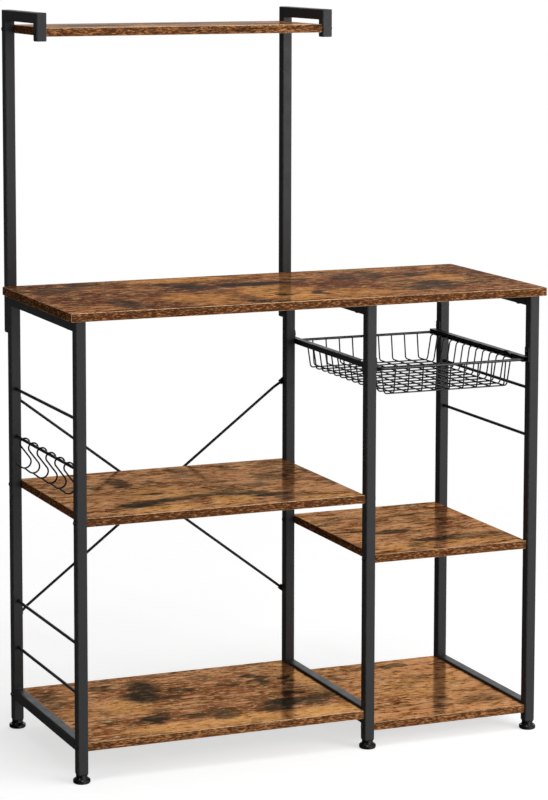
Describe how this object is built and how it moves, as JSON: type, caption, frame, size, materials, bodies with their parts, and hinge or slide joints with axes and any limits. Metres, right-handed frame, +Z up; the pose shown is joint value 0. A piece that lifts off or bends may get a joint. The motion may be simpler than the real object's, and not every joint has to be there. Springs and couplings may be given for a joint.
{
  "type": "kitchen rack",
  "caption": "Free-standing kitchen rack of square black tube with wood-print counter and shelves, a raised back shelf, a pull-out wire basket, hanging S-hooks and screw feet.",
  "frame": {"origin": "on the floor, under the middle of the overall box", "axes": "+X along the counter to the right seen from the front, +Y from front to back, +Z up"},
  "size_m": [0.9, 0.406, 1.308],
  "materials": {
    "board": "rustic brown printed grain, satin",
    "frame_tube": "black powder coat, satin",
    "rod": "black powder coat, satin",
    "basket_wire": "black coated wire, half gloss",
    "hook_wire": "black coated wire, gloss",
    "bolt": "blackened bolt",
    "foot_plastic": "black moulded plastic, gloss",
    "plug_plastic": "black moulded plastic, matt",
    "stem_steel": "zinc plated steel"
  },
  "bodies": {
    "frame": {"counter_board": "board", "counter_screws": "bolt", "falling_brace": "rod", "foot_plugs": "plug_plastic", "hook_rail": "rod", "left_basket_rail": "frame_tube", "left_bottom_bar": "frame_tube", "left_bottom_shelf": "board", "left_front_leg": "frame_tube", "left_lower_rods": "rod", "left_middle_shelf": "board", "left_rear_leg": "frame_tube", "left_top_bar": "frame_tube", "left_upper_rod": "rod", "middle_bottom_bar": "frame_tube", "middle_front_leg": "frame_tube", "middle_rear_leg": "frame_tube", "middle_top_bar": "frame_tube", "plate_screws": "bolt", "right_basket_rail": "frame_tube", "right_bottom_bar": "frame_tube", "right_bottom_shelf": "board", "right_front_leg": "frame_tube", "right_middle_shelf": "board", "right_rear_leg": "frame_tube", "right_side_rods": "rod", "right_top_bar": "frame_tube", "rising_brace": "rod", "shelf_bolts": "bolt", "tube_caps": "plug_plastic", "upper_left_arm": "frame_tube", "upper_left_drop_leg": "frame_tube", "upper_left_upright": "frame_tube", "upper_right_arm": "frame_tube", "upper_right_drop_leg": "frame_tube", "upper_right_upright": "frame_tube", "upper_shelf": "board", "upright_bolts": "bolt"},
    "basket": {"basket_rim": "basket_wire", "basket_long_wires": "basket_wire", "basket_cross_wires": "basket_wire"},
    "s_hook_1": {"s_hook_1": "hook_wire"},
    "s_hook_2": {"s_hook_2": "hook_wire"},
    "s_hook_3": {"s_hook_3": "hook_wire"},
    "s_hook_4": {"s_hook_4": "hook_wire"},
    "s_hook_5": {"s_hook_5": "hook_wire"},
    "s_hook_6": {"s_hook_6": "hook_wire"},
    "left_front_pad": {"left_front_foot_pad": "foot_plastic"},
    "left_front_stem": {"left_front_foot_stem": "stem_steel"},
    "left_rear_pad": {"left_rear_foot_pad": "foot_plastic"},
    "left_rear_stem": {"left_rear_foot_stem": "stem_steel"},
    "middle_front_pad": {"middle_front_foot_pad": "foot_plastic"},
    "middle_front_stem": {"middle_front_foot_stem": "stem_steel"},
    "middle_rear_pad": {"middle_rear_foot_pad": "foot_plastic"},
    "middle_rear_stem": {"middle_rear_foot_stem": "stem_steel"},
    "right_front_pad": {"right_front_foot_pad": "foot_plastic"},
    "right_front_stem": {"right_front_foot_stem": "stem_steel"},
    "right_rear_pad": {"right_rear_foot_pad": "foot_plastic"},
    "right_rear_stem": {"right_rear_foot_stem": "stem_steel"}
  },
  "joints": [
    {"name": "basket_slide", "type": "slide", "parent": "frame", "child": "basket", "axis": [0, -1, 0], "range_m": [0, 0.299]},
    {"name": "s_hook_1_swing", "type": "hinge", "parent": "frame", "child": "s_hook_1", "pos_m": [-0.4305, -0.12825, 0.5415], "axis": [0, 1, 0], "range_deg": [-60, 60]},
    {"name": "s_hook_2_swing", "type": "hinge", "parent": "frame", "child": "s_hook_2", "pos_m": [-0.4305, -0.07975, 0.5415], "axis": [0, 1, 0], "range_deg": [-60, 60]},
    {"name": "s_hook_3_swing", "type": "hinge", "parent": "frame", "child": "s_hook_3", "pos_m": [-0.4305, -0.03125, 0.5415], "axis": [0, 1, 0], "range_deg": [-60, 60]},
    {"name": "s_hook_4_swing", "type": "hinge", "parent": "frame", "child": "s_hook_4", "pos_m": [-0.4305, 0.01725, 0.5415], "axis": [0, 1, 0], "range_deg": [-60, 60]},
    {"name": "s_hook_5_swing", "type": "hinge", "parent": "frame", "child": "s_hook_5", "pos_m": [-0.4305, 0.06575, 0.5415], "axis": [0, 1, 0], "range_deg": [-60, 60]},
    {"name": "s_hook_6_swing", "type": "hinge", "parent": "frame", "child": "s_hook_6", "pos_m": [-0.4305, 0.11425, 0.5415], "axis": [0, 1, 0], "range_deg": [-60, 60]},
    {"name": "left_front_foot_travel", "type": "slide", "parent": "frame", "child": "left_front_pad", "axis": [0, 0, -1], "range_m": [0, 0.01]},
    {"name": "left_front_foot_turn", "type": "hinge", "parent": "left_front_pad", "child": "left_front_stem", "pos_m": [-0.4305, -0.1855, 0], "axis": [0, 0, -1], "range_deg": [0, 2880]},
    {"name": "left_rear_foot_travel", "type": "slide", "parent": "frame", "child": "left_rear_pad", "axis": [0, 0, -1], "range_m": [0, 0.01]},
    {"name": "left_rear_foot_turn", "type": "hinge", "parent": "left_rear_pad", "child": "left_rear_stem", "pos_m": [-0.4305, 0.1715, 0], "axis": [0, 0, -1], "range_deg": [0, 2880]},
    {"name": "middle_front_foot_travel", "type": "slide", "parent": "frame", "child": "middle_front_pad", "axis": [0, 0, -1], "range_m": [0, 0.01]},
    {"name": "middle_front_foot_turn", "type": "hinge", "parent": "middle_front_pad", "child": "middle_front_stem", "pos_m": [0.1085, -0.1855, 0], "axis": [0, 0, -1], "range_deg": [0, 2880]},
    {"name": "middle_rear_foot_travel", "type": "slide", "parent": "frame", "child": "middle_rear_pad", "axis": [0, 0, -1], "range_m": [0, 0.01]},
    {"name": "middle_rear_foot_turn", "type": "hinge", "parent": "middle_rear_pad", "child": "middle_rear_stem", "pos_m": [0.1085, 0.1715, 0], "axis": [0, 0, -1], "range_deg": [0, 2880]},
    {"name": "right_front_foot_travel", "type": "slide", "parent": "frame", "child": "right_front_pad", "axis": [0, 0, -1], "range_m": [0, 0.01]},
    {"name": "right_front_foot_turn", "type": "hinge", "parent": "right_front_pad", "child": "right_front_stem", "pos_m": [0.4305, -0.1855, 0], "axis": [0, 0, -1], "range_deg": [0, 2880]},
    {"name": "right_rear_foot_travel", "type": "slide", "parent": "frame", "child": "right_rear_pad", "axis": [0, 0, -1], "range_m": [0, 0.01]},
    {"name": "right_rear_foot_turn", "type": "hinge", "parent": "right_rear_pad", "child": "right_rear_stem", "pos_m": [0.4305, 0.1715, 0], "axis": [0, 0, -1], "range_deg": [0, 2880]}
  ],
  "couplings": [
    {"joint": "left_front_foot_turn", "follows": "left_front_foot_travel", "rad_per_m": 5026.5},
    {"joint": "left_rear_foot_turn", "follows": "left_rear_foot_travel", "rad_per_m": 5026.5},
    {"joint": "middle_front_foot_turn", "follows": "middle_front_foot_travel", "rad_per_m": 5026.5},
    {"joint": "middle_rear_foot_turn", "follows": "middle_rear_foot_travel", "rad_per_m": 5026.5},
    {"joint": "right_front_foot_turn", "follows": "right_front_foot_travel", "rad_per_m": 5026.5},
    {"joint": "right_rear_foot_turn", "follows": "right_rear_foot_travel", "rad_per_m": 5026.5}
  ]
}
